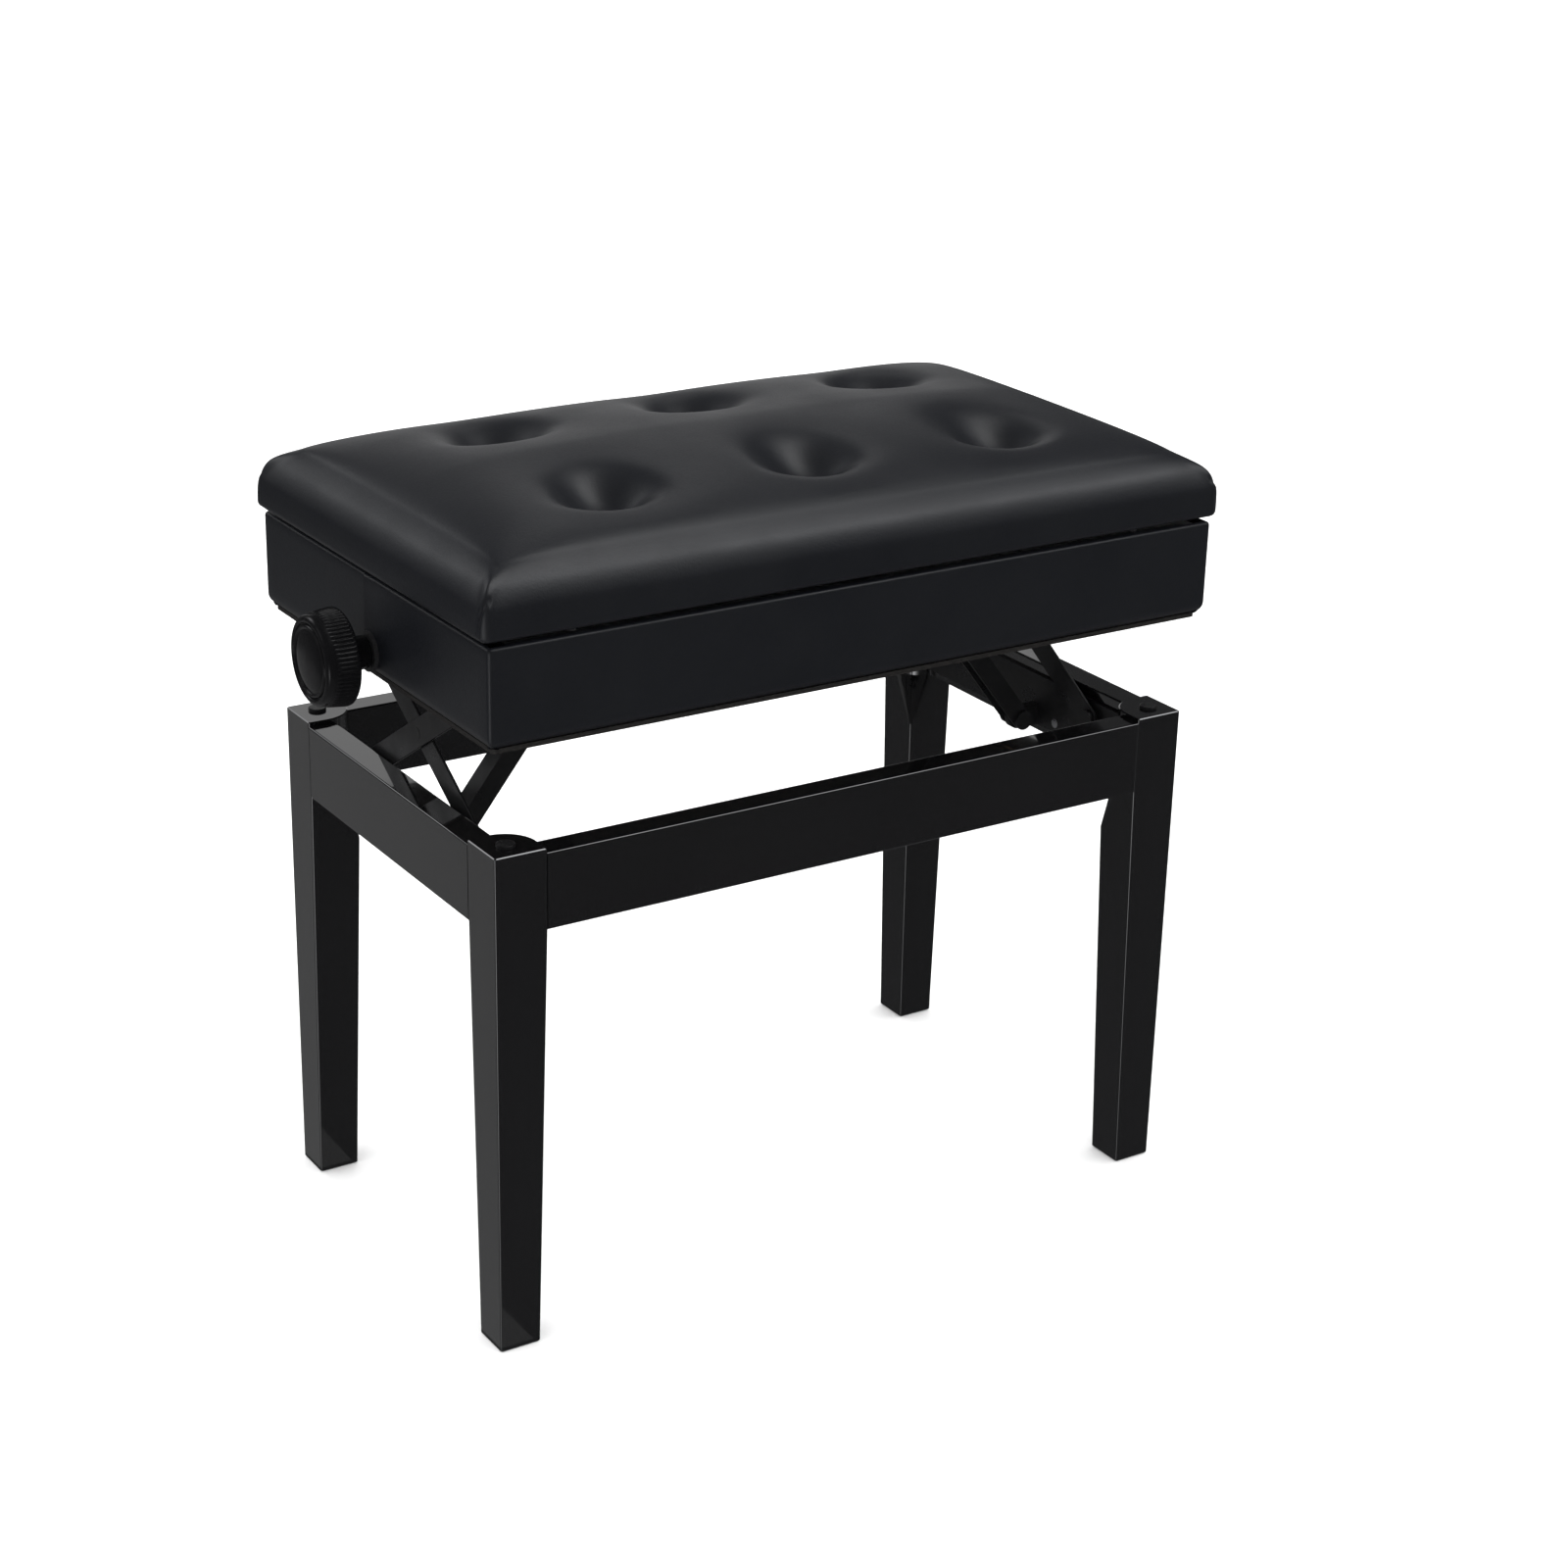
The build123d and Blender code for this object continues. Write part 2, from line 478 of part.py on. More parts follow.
boss_back = box_x + BUSH_FLANGE + KNOB_BOSS_GAP
knob_profile = [
    (boss_back, 0),
    (boss_back, KNOB_BOSS_RADIUS),
    (knob_back, KNOB_BOSS_RADIUS + KNOB_BOSS_FLARE),
    (knob_back, KNOB_RADIUS - KNOB_EDGE),
    (knob_back + KNOB_EDGE, KNOB_RADIUS),
    (knob_back + KNOB_WAIST * KNOB_DEPTH, KNOB_RADIUS - KNOB_WAIST_DROP),
    (knob_face - KNOB_FACE_EDGE, KNOB_FACE_RADIUS),
    (knob_face - KNOB_DOME, KNOB_FACE_RADIUS - KNOB_FACE_EDGE),
    (knob_face, 0),
]
outline = Polyline(*[(-x, 0, spindle_z + r) for x, r in knob_profile], close=True)
knob = revolve(make_face(outline), Axis((0, 0, spindle_z), (1, 0, 0)), 360)
knob -= rod("X", -spindle_end, -box_x, SPINDLE_RADIUS, 0, spindle_z)
parts["knob_left"] = knob
parts["knob_right"] = other_end(knob)

# ---- lid: board, lining, foam and cover ----
cover_low = lid_low + LID_LINING
board_low = cover_low + COVER_THICK
board_x = lid_x - COVER_THICK
board_y = lid_y - COVER_THICK
board_top = board_low + LID_BOARD
lid_top = lid_low + LID_HEIGHT


def rounded_slab(x, y, z0, z1, corner, lower_round, top_round):
    """A slab with rounded upright corners, and rounded lower and upper edges where they aren't 0."""
    slab = fillet(block(-x, x, -y, y, z0, z1).edges().filter_by(Axis.Z), corner)
    if lower_round:
        slab = fillet(slab.faces().sort_by(Axis.Z)[0].edges(), lower_round)
    if top_round:
        slab = fillet(slab.faces().sort_by(Axis.Z)[-1].edges(), top_round)
    return slab


inner_corner = LID_CORNER_ROUND - COVER_THICK
inner_lower = LID_LOWER_ROUND - COVER_THICK
inner_top = LID_TOP_ROUND - COVER_THICK
lid_board = rounded_slab(board_x, board_y, board_low, board_top, inner_corner, inner_lower, 0)
foam = rounded_slab(board_x, board_y, board_top, lid_top - COVER_THICK, inner_corner, 0, inner_top)
lid_skin = rounded_slab(lid_x, lid_y, cover_low, lid_top, LID_CORNER_ROUND, LID_LOWER_ROUND, LID_TOP_ROUND)
lid_skin -= lid_board
lid_skin -= foam
lid_skin -= block(HEM - lid_x, lid_x - HEM, HEM - lid_y, lid_y - HEM, cover_low, board_low)
lining = block(LINING_INSET - lid_x, lid_x - LINING_INSET, LINING_INSET - lid_y, lid_y - LINING_INSET,
               lid_low, cover_low)

# ---- hinges in the gap behind the box's rim, and the lid's bumpers ----
hinge_pins = []
box_leaves = []
lid_leaves = []
knuckle_length = HINGE_LENGTH / KNUCKLES
notch_y = hinge_y - KNUCKLE_RADIUS - KNUCKLE_NOTCH
leaf_y = hinge_y - KNUCKLE_RADIUS - LEAF_WIDTH
lower_leaf = (box_top, box_top + LEAF_THICK)
upper_leaf = (lid_low - LEAF_THICK, lid_low)
for side in (-1, 1):
    start = side * (box_x - HINGE_END_INSET) - HINGE_LENGTH / 2
    end = start + HINGE_LENGTH
    hinge_pins.append(rod("X", start, end, HINGE_PIN_RADIUS, hinge_y, hinge_z))
    lower = block(start, end, leaf_y, hinge_y, *lower_leaf)
    upper = block(start, end, leaf_y, hinge_y, *upper_leaf)
    for index in range(KNUCKLES):
        near = start + index * knuckle_length
        far = near + knuckle_length
        own_notch = block(near, far, notch_y, hinge_y, box_top, lid_low)
        other_notch = block(near - KNUCKLE_PLAY, far + KNUCKLE_PLAY, notch_y, hinge_y, box_top, lid_low)
        near += KNUCKLE_PLAY
        far -= KNUCKLE_PLAY
        knuckle = rod("X", near, far, KNUCKLE_RADIUS, hinge_y, hinge_z)
        if index % 2 == 0:
            lower = lower - own_notch + block(near, far, notch_y, hinge_y, *lower_leaf) + knuckle
            upper -= other_notch
        else:
            lower -= other_notch
            upper = upper - own_notch + block(near, far, notch_y, hinge_y, *upper_leaf) + knuckle
    bore = rod("X", start - 1, end + 1, HINGE_PIN_RADIUS + RUNNING_GAP / 2, hinge_y, hinge_z)
    box_leaves.append(lower - bore)
    lid_leaves.append(upper - bore)

bumpers = []
bumper_y = room_y + BUMPER_INSET + BUMPER_RADIUS
for x in (BUMPER_END_INSET - box_x, box_x - BUMPER_END_INSET):
    bumpers.append(rod("Z", box_top, lid_low - BUMPER_GAP, BUMPER_RADIUS, x, -bumper_y))

parts["box_cover"] = cover
parts["box_front"] = box_front
parts["box_rear"] = box_rear
parts["box_left"] = box_left
parts["box_right"] = box_right
parts["storage_floor"] = floor
parts["bottom_panel"] = bottom
parts["end_block_left"] = end_block
parts["end_block_right"] = other_end(end_block)
parts["floor_cleats"] = Compound([cleat, mirror(cleat, about=Plane.XZ)])
parts["top_plate_left"] = top_plate
parts["top_plate_right"] = other_end(top_plate)
parts["top_plate_screws"] = Compound(top_screws + [other_end(s) for s in top_screws])
parts["bottom_screws"] = Compound(bottom_screws)
parts["spindle_bushes"] = Compound([bush, other_end(bush)])
parts["lid_bumpers"] = Compound(bumpers)
parts["hinge_leaves_box"] = Compound(box_leaves)
parts["hinge_leaves_lid"] = Compound(lid_leaves)
parts["hinge_pins"] = Compound(hinge_pins)
parts["lid_board"] = lid_board
parts["lid_lining"] = lining
parts["cushion_foam"] = foam
parts["cushion_cover"] = lid_skin

os.makedirs("parts", exist_ok=True)
for name, piece in parts.items():
    export_step(piece, f"parts/{name}.step")
print(len(parts), "nodes")
print("arm", round(arm_length, 3), "at", round(math.degrees(arm_angle), 3))
print("link at", round(math.degrees(link_angle), 3), "nut x", round(nut_x, 2), round(low_nut_x, 2))
print("middle", round(middle_y, 2), round(middle_z, 2))
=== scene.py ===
import math

import bpy
import numpy as np
from mathutils import Matrix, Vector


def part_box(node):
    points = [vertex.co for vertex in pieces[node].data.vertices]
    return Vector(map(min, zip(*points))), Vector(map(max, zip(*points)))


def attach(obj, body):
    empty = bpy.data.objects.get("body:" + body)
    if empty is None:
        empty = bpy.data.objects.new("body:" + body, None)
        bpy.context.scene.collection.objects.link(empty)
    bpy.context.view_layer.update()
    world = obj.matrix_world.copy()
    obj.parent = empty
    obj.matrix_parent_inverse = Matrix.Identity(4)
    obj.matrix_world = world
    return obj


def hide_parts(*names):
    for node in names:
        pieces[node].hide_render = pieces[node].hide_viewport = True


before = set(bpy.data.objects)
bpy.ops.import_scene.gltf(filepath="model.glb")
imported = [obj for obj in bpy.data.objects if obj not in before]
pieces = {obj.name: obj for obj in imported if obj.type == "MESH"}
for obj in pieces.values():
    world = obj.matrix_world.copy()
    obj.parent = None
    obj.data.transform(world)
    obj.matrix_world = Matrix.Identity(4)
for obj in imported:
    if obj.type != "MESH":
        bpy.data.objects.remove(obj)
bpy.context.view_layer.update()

# ---- view of the bench ----
# A long lens a little above the seat, to the front left of the bench, with the bench
# standing level. The line of sight is given by the view's right, down and forward lines.
view = bpy.data.cameras.new("view")
view.sensor_width = 36.0
view.lens = 69.47
view.clip_end = 60.0
view_right = (0.84223892, -0.53862638, 0.02269835)
view_down = (-0.18112352, -0.32237344, -0.92912305)
view_ahead = (0.50776753, 0.77843239, -0.36907337)
view_stand = bpy.data.objects.new("view", view)
view_axes = np.array([view_right, np.negative(view_down), np.negative(view_ahead)])
view_place = np.eye(4)
view_place[:3, :3] = view_axes.T
view_place[:3, 3] = (-1.0260, -1.6339, 1.0543)
view_stand.matrix_world = Matrix(view_place.tolist())
bpy.context.scene.collection.objects.link(view_stand)
bpy.context.scene.camera = view_stand
bpy.context.scene.view_settings.view_transform = "Standard"

# ---- studio ----
# A matt white floor under a white room. Bright surfaces see a dim room instead, with soft
# cards in it, four soft boxes (behind the bench, high behind it, overhead and to its left)
# and a dim card laid on the floor to its left, which only shows in what is polished.
floor_half = 30.0
floor_mesh = bpy.data.meshes.new("studio_floor")
floor_signs = ((-1, -1), (1, -1), (1, 1), (-1, 1))
floor_mesh.from_pydata([(x * floor_half, y * floor_half, 0) for x, y in floor_signs], [], [(0, 1, 2, 3)])
studio_floor = bpy.data.objects.new("studio_floor", floor_mesh)
bpy.context.scene.collection.objects.link(studio_floor)
studio_floor.visible_glossy = False

floor_paint = bpy.data.materials.new("floor_paint")
floor_paint.use_nodes = True
floor_shader = floor_paint.node_tree.nodes["Principled BSDF"]
floor_shader.inputs["Base Color"].default_value = (0.93, 0.93, 0.93, 1)
floor_shader.inputs["Roughness"].default_value = 1.0
floor_mesh.materials.append(floor_paint)

room = bpy.data.worlds.new("white_room")
bpy.context.scene.world = room
room.use_nodes = True
room_nodes = room.node_tree.nodes
room_white = room_nodes["Background"]
room_white.inputs["Color"].default_value = (1, 1, 1, 1)
room_white.inputs["Strength"].default_value = 1.8
room_glow = 0.05
room_cards = (  # the way a dim card lies from the bench, how small it is, how bright it is
    ((0.0, 0.0, -1.0), 1.5, 0.10),
    ((0.90, 0.25, -0.369), 8.0, 0.12),
    ((-0.778, -0.508, -0.369), 60.0, 4.0),
    ((-0.369, 0.778, 0.508), 60.0, 3.0),
    ((0.508, -0.369, 0.778), 40.0, 6.0))


def room_math(kind, first, second):
    """One sum in the room's nodes. Each side is a number or an output."""
    fresh = room_nodes.new("ShaderNodeMath")
    fresh.operation = kind
    for socket, value in zip(fresh.inputs, (first, second)):
        if isinstance(value, bpy.types.NodeSocket):
            room.node_tree.links.new(value, socket)
        else:
            socket.default_value = value
    return fresh.outputs["Value"]


room_way = room_nodes.new("ShaderNodeTexCoord").outputs["Generated"]
room_sum = room_glow
for card_way, card_close, card_glow in room_cards:
    facing = room_nodes.new("ShaderNodeVectorMath")
    facing.operation = "DOT_PRODUCT"
    facing.inputs[1].default_value = card_way
    room.node_tree.links.new(room_way, facing.inputs[0])
    card_share = room_math("POWER", room_math("MAXIMUM", facing.outputs["Value"], 0.0), card_close)
    room_sum = room_math("ADD", room_math("MULTIPLY", card_share, card_glow), room_sum)
room_dim = room_nodes.new("ShaderNodeBackground")
room_dim.inputs["Color"].default_value = (0.97, 0.98, 1.0, 1)
room.node_tree.links.new(room_sum, room_dim.inputs["Strength"])
room_path = room_nodes.new("ShaderNodeLightPath")
room_choice = room_nodes.new("ShaderNodeMixShader")
room.node_tree.links.new(room_path.outputs["Is Glossy Ray"], room_choice.inputs["Fac"])
room.node_tree.links.new(room_white.outputs["Background"], room_choice.inputs[1])
room.node_tree.links.new(room_dim.outputs["Background"], room_choice.inputs[2])
room.node_tree.links.new(room_choice.outputs["Shader"], room_nodes["World Output"].inputs["Surface"])


def soft_box(name, place, aim, width, height, glow):
    """A rectangular light at a place, facing the aim point. Its power is glow times pi times its area, so
    glow is how bright its face looks."""
    lamp = bpy.data.lights.new(name, "AREA")
    lamp.shape = "RECTANGLE"
    lamp.size = width
    lamp.size_y = height
    lamp.energy = glow * math.pi * width * height
    stand = bpy.data.objects.new(name, lamp)
    back = np.subtract(place, aim) / np.linalg.norm(np.subtract(place, aim))
    across = np.cross((0, 0, 1), back)
    across /= np.linalg.norm(across)
    turn = np.eye(4)
    turn[:3, :3] = np.array([across, np.cross(back, across), back]).T
    turn[:3, 3] = place
    stand.matrix_world = Matrix(turn.tolist())
    bpy.context.scene.collection.objects.link(stand)
    return stand


soft_box("box_behind", (1.25, 3.0, 0.95), (0, 0, 0.45), 2.2, 1.7, 0.45)
soft_box("box_high", (0.9, 1.6, 2.15), (-0.05, -0.1, 0.5), 0.7, 0.7, 0.8)
soft_box("box_overhead", (0.6, -0.1, 2.5), (0, 0, 0.45), 0.9, 0.9, 2.8)
soft_box("box_left", (-2.4, 0.6, 1.9), (0, 0, 0.4), 1.2, 1.2, 0.5)
floor_card = soft_box("floor_card", (-0.63, 0.35, 0.004), (-0.62, 0.35, 9.0), 2.0, 0.78, 0.12)
floor_card.visible_camera = False
floor_card.visible_diffuse = False

# ---- legs and rails ----
# Square tapered legs and flat rails of hardwood, glued with dowels, under a thick sprayed
# polyester lacquer rubbed to a piano gloss, which pools slightly and shows faint ripples.


def new_finish(name, colour, roughness, **sockets):
    """A material with one shader whose own sockets hold the values that are the same all over."""
    made = bpy.data.materials.new(name)
    made.use_nodes = True
    shader = made.node_tree.nodes["Principled BSDF"]
    shader.inputs["Base Color"].default_value = (*colour, 1)
    shader.inputs["Roughness"].default_value = roughness
    for socket, value in sockets.items():
        shader.inputs[socket.replace("_", " ")].default_value = value
    return made


def add_node(made, kind, settings=None, **inputs):
    """One node of a finish. An input is a number, a colour or the output of another node."""
    fresh = made.node_tree.nodes.new("ShaderNode" + kind)
    for key, value in (settings or {}).items():
        setattr(fresh, key, value)
    for key, value in inputs.items():
        socket = fresh.inputs[key.replace("_", " ")]
        if isinstance(value, bpy.types.NodeSocket):
            made.node_tree.links.new(value, socket)
        else:
            socket.default_value = value
    return fresh


def feed(made, socket, output):
    """Lets a pattern drive one socket of the finish's shader."""
    made.node_tree.links.new(output, made.node_tree.nodes["Principled BSDF"].inputs[socket])


def noise_on(made, place, scale, detail=3.0, rough=0.5):
    """Cloudy pattern, scale clouds to the metre."""
    clouds = add_node(made, "TexNoise", Vector=place, Scale=scale, Detail=detail, Roughness=rough)
    return clouds.outputs["Fac"]


def spread(made, value, low, high, start=0.3, end=0.7):
    """Stretches a pattern's start..end onto low..high, in a straight line."""
    return add_node(made, "MapRange", Value=value, From_Min=start, From_Max=end, To_Min=low,
                    To_Max=high).outputs["Result"]


def two_tone(made, value, first, second):
    """Colour that runs from first to second as a pattern goes from 0 to 1."""
    return add_node(made, "MixRGB", Fac=value, Color1=(*first, 1), Color2=(*second, 1)).outputs["Color"]


def relief(made, height, depth, strength=1.0, under=None):
    """Bump of a given depth in metres, laid over an earlier one where there is one."""
    inputs = {"Height": height, "Distance": depth, "Strength": strength}
    if under is not None:
        inputs["Normal"] = under
    return add_node(made, "Bump", **inputs).outputs["Normal"]


def coat_pieces(made, *names):
    """Gives a finish to CAD nodes that keep their own shape."""
    for name in names:
        for held in pieces[name].material_slots:
            held.material = made


lacquer = new_finish("piano_lacquer", (0.0022, 0.0022, 0.0026), 0.06, Specular_IOR_Level=0.55,
                     Coat_Weight=0.9, Coat_Roughness=0.03)
lacquer_place = add_node(lacquer, "TexCoord").outputs["Object"]
lacquer_haze = noise_on(lacquer, lacquer_place, 16.0, 5.0, 0.65)
feed(lacquer, "Roughness", spread(lacquer, lacquer_haze, 0.045, 0.13))
lacquer_pool = noise_on(lacquer, lacquer_place, 7.0)
feed(lacquer, "Base Color", two_tone(lacquer, lacquer_pool, (0.0016, 0.0016, 0.0019),
                                     (0.0034, 0.0033, 0.0036)))
lacquer_ripple = relief(lacquer, noise_on(lacquer, lacquer_place, 34.0, 1.5), 0.00022, 0.5)
lacquer_dust = relief(lacquer, noise_on(lacquer, lacquer_place, 1400.0, 2.0), 0.00001, 0.35, lacquer_ripple)
feed(lacquer, "Normal", lacquer_dust)
coat_pieces(lacquer, "leg_front_left", "leg_front_right", "leg_rear_left", "leg_rear_right", "rail_front",
            "rail_rear", "rail_left", "rail_right")

# ---- dowels, box panels, blocks and lid board ----
# Planed softwood and plywood left bare: dowels in the stand's joints, four panels and two
# end blocks glued up as the box, cleats under its floor, and the board inside the lid.
bare_wood = new_finish("planed_softwood", (0.55, 0.39, 0.24), 0.62, Specular_IOR_Level=0.3)
wood_place = add_node(bare_wood, "TexCoord").outputs["Object"]
wood_run = add_node(bare_wood, "Mapping", Vector=wood_place, Scale=(1.6, 14.0, 26.0)).outputs["Vector"]
wood_figure = noise_on(bare_wood, wood_run, 6.0, 5.0, 0.6)
wood_pores = noise_on(bare_wood, add_node(bare_wood, "Mapping", Vector=wood_place,
                                          Scale=(40.0, 700.0, 700.0)).outputs["Vector"], 1.0, 2.0)
wood_shade = spread(bare_wood, wood_figure, 0.0, 1.0, 0.32, 0.68)
feed(bare_wood, "Base Color", two_tone(bare_wood, wood_shade, (0.62, 0.46, 0.29), (0.43, 0.27, 0.14)))
feed(bare_wood, "Roughness", spread(bare_wood, wood_pores, 0.52, 0.75))
feed(bare_wood, "Normal", relief(bare_wood, wood_pores, 0.00008, 0.6))
coat_pieces(bare_wood, "rail_dowels", "box_front", "box_rear", "box_left", "box_right", "end_block_left",
            "end_block_right", "floor_cleats", "lid_board")

# ---- storage floor and bottom panel ----
# Thin pressed hardboard, stained black: the floor of the compartment, and the panel
# screwed on under the box, whose fibres show as fine pale flecks.
hardboard = new_finish("stained_hardboard", (0.007, 0.0065, 0.006), 0.6, Specular_IOR_Level=0.35)
board_place = add_node(hardboard, "TexCoord").outputs["Object"]
board_fibre = noise_on(hardboard, add_node(hardboard, "Mapping", Vector=board_place,
                                           Scale=(300.0, 900.0, 900.0)).outputs["Vector"], 1.0, 4.0, 0.7)
feed(hardboard, "Base Color", two_tone(hardboard, spread(hardboard, board_fibre, 0.0, 1.0, 0.35, 0.75),
                                       (0.004, 0.0038, 0.0038), (0.018, 0.015, 0.013)))
feed(hardboard, "Roughness", spread(hardboard, board_fibre, 0.48, 0.72))
feed(hardboard, "Normal", relief(hardboard, board_fibre, 0.00006, 0.6))
coat_pieces(hardboard, "storage_floor", "bottom_panel")

# ---- seat stops ----
# Turned discs of hard black rubber on the four leg tops, which the box comes down to at its
# lowest setting. Their upper edges are rounded, and the rubber has bloomed in faint clouds.
rubber = new_finish("hard_rubber", (0.004, 0.004, 0.0045), 0.3, Specular_IOR_Level=0.3)
rubber_place = add_node(rubber, "TexCoord").outputs["Object"]
rubber_bloom = noise_on(rubber, rubber_place, 260.0, 4.0, 0.6)
feed(rubber, "Roughness", spread(rubber, rubber_bloom, 0.2, 0.46))
feed(rubber, "Base Color", two_tone(rubber, rubber_bloom, (0.003, 0.003, 0.0035), (0.009, 0.009, 0.0095)))
feed(rubber, "Normal", relief(rubber, noise_on(rubber, rubber_place, 1600.0, 2.0), 0.00002, 0.6))
coat_pieces(rubber, "seat_stops")

# ---- lifting gear and hinges ----
# Stamped steel strip: slotted plates, crossed arms, folded links, lugs, pins and rivets,
# powder coated satin black, a little duller in some patches than in others.
gear_coat = new_finish("satin_black_coat", (0.005, 0.005, 0.006), 0.3, Specular_IOR_Level=0.3)
gear_place = add_node(gear_coat, "TexCoord").outputs["Object"]
gear_speckle = noise_on(gear_coat, gear_place, 900.0, 3.0, 0.6)
gear_patch = noise_on(gear_coat, gear_place, 45.0, 4.0, 0.6)
feed(gear_coat, "Base Color", two_tone(gear_coat, gear_patch, (0.0035, 0.0035, 0.004),
                                       (0.009, 0.009, 0.0095)))
feed(gear_coat, "Roughness", spread(gear_coat, gear_patch, 0.24, 0.42))
feed(gear_coat, "Normal", relief(gear_coat, gear_speckle, 0.00003, 0.5))
coat_pieces(gear_coat, "base_plate_left", "base_plate_right", "base_pivot_pins", "link_lugs",
            "link_foot_pins", "scissor_inner_left", "scissor_inner_right", "scissor_outer_left",
            "scissor_outer_right", "scissor_rivet_left", "scissor_rivet_right", "slide_pin_low_left",
            "slide_pin_low_right", "slide_pin_high_left", "slide_pin_high_right", "top_pivot_pins",
            "lifting_link_left", "lifting_link_right", "top_plate_left", "top_plate_right",
            "hinge_leaves_box", "hinge_leaves_lid")

# ---- spindle, nuts and screws ----
# The turning rod, its two travelling nuts with their studs, the hinge pins and every wood
# screw are steel with a bright zinc plating, which clouds in faint patches.
zinc = new_finish("bright_zinc", (0.56, 0.57, 0.60), 0.28, Metallic=1.0)
zinc_place = add_node(zinc, "TexCoord").outputs["Object"]
zinc_cloud = noise_on(zinc, zinc_place, 180.0, 4.0, 0.6)
feed(zinc, "Base Color", two_tone(zinc, zinc_cloud, (0.46, 0.47, 0.50), (0.64, 0.64, 0.65)))
feed(zinc, "Roughness", spread(zinc, zinc_cloud, 0.2, 0.4))
feed(zinc, "Normal", relief(zinc, noise_on(zinc, zinc_place, 2200.0, 2.0), 0.00001, 0.5))
coat_pieces(zinc, "base_plate_screws", "bottom_screws", "top_plate_screws", "hinge_pins", "nut_stud_left",
            "nut_stud_right", "spindle", "spindle_nut_left", "spindle_nut_right")

# ---- spindle bushes ----
# Flanged bushes of black nylon, pressed through the box ends, in which the spindle turns.
# They come straight from the mould, with its fine spark-eroded surface.
nylon = new_finish("black_nylon", (0.011, 0.011, 0.012), 0.42, Specular_IOR_Level=0.45)
nylon_place = add_node(nylon, "TexCoord").outputs["Object"]
nylon_grain = noise_on(nylon, nylon_place, 1800.0, 3.0, 0.6)
feed(nylon, "Roughness", spread(nylon, nylon_grain, 0.34, 0.52))
feed(nylon, "Normal", relief(nylon, nylon_grain, 0.00003, 0.5))
coat_pieces(nylon, "spindle_bushes")

# ---- height knobs ----
# Moulded black plastic hand wheels, one pushed on each end of the spindle: a boss, a
# fluted rim that tapers to the face, and a domed cap with stepped rings.
rib_count = 66
rib_depth = 1.0
spokes_per_rib = 6
bore_radius = 6.05
knob_line = np.array([  # distance from the middle of the bench, radius
    (304.2, bore_radius), (274.2, bore_radius), (274.0, 10.2), (275.2, 10.6), (288.6, 11.2), (289.8, 12.2),
    (290.0, 14.0), (290.0, 20.0), (290.1, 29.2), (290.5, 30.3), (291.3, 31.1), (292.3, 31.4), (293.5, 31.4),
    (296.5, 31.1), (300.0, 30.7), (303.0, 30.3), (305.2, 29.95), (305.8, 29.5), (306.6, 29.4), (308.6, 29.1),
    (310.2, 28.6), (311.2, 27.9), (311.9, 26.9), (312.2, 25.8), (312.1, 24.9), (311.5, 24.3), (310.6, 24.1),
    (310.3, 23.7), (310.6, 23.3), (311.6, 23.0), (312.3, 22.4), (312.5, 21.6), (312.2, 20.9), (311.6, 20.6),
    (311.5, 20.1), (311.9, 19.5), (312.7, 16.5), (313.3, 12.0), (313.7, 7.0), (313.95, 2.5)])
rib_reach = np.interp(knob_line[:, 0], [291.5, 293.0, 304.8, 305.8], [0, 1, 1, 0]) * (knob_line[:, 1] > 29.0)


def fill_skin(name, rows, start=None, end=None):
    """A closed skin over rows of points, each row going right round. A start and an end point close the
    first and the last row as fans. Without them the last row joins the first, as on a hoop. The faces are
    turned round where the volume, a sixth of the sum of each face's triple products, comes out negative."""
    count, around = rows.shape[:2]
    points = rows.reshape(-1, 3)
    index = np.arange(count * around).reshape(count, around)
    after = np.roll(index, -1, axis=1)
    if start is None:
        index, after = np.vstack([index, index[:1]]), np.vstack([after, after[:1]])
    faces = np.stack([index[:-1], after[:-1], after[1:], index[1:]], axis=-1).reshape(-1, 4)
    fans = np.zeros((0, 3), int)
    if start is not None:
        points = np.vstack([points, [start, end]])
        tip = np.full(around, count * around)
        fans = np.vstack([np.stack([after[0], index[0], tip], axis=-1),
                          np.stack([index[-1], after[-1], tip + 1], axis=-1)])
    corner = points[faces]
    volume = (np.einsum("ij,ij->i", corner[:, 0], np.cross(corner[:, 1], corner[:, 2])).sum()
              + np.einsum("ij,ij->i", corner[:, 0], np.cross(corner[:, 2], corner[:, 3])).sum())
    if volume < 0:
        faces, fans = faces[:, ::-1], fans[:, ::-1]
    skin = bpy.data.meshes.new(name)
    skin.from_pydata((points * 0.001).tolist(), [], faces.tolist() + fans.tolist())
    skin.polygons.foreach_set("use_smooth", np.ones(len(skin.polygons), bool))
    made = bpy.data.objects.new(name, skin)
    bpy.context.scene.collection.objects.link(made)
    return made


knob_plastic = new_finish("knob_plastic", (0.003, 0.003, 0.0034), 0.2, Specular_IOR_Level=0.2)
knob_place = add_node(knob_plastic, "TexCoord").outputs["Object"]
knob_grain = noise_on(knob_plastic, knob_place, 1500.0, 3.0, 0.6)
feed(knob_plastic, "Roughness", spread(knob_plastic, noise_on(knob_plastic, knob_place, 70.0), 0.15, 0.24))
feed(knob_plastic, "Normal", relief(knob_plastic, knob_grain, 0.000015, 0.5))

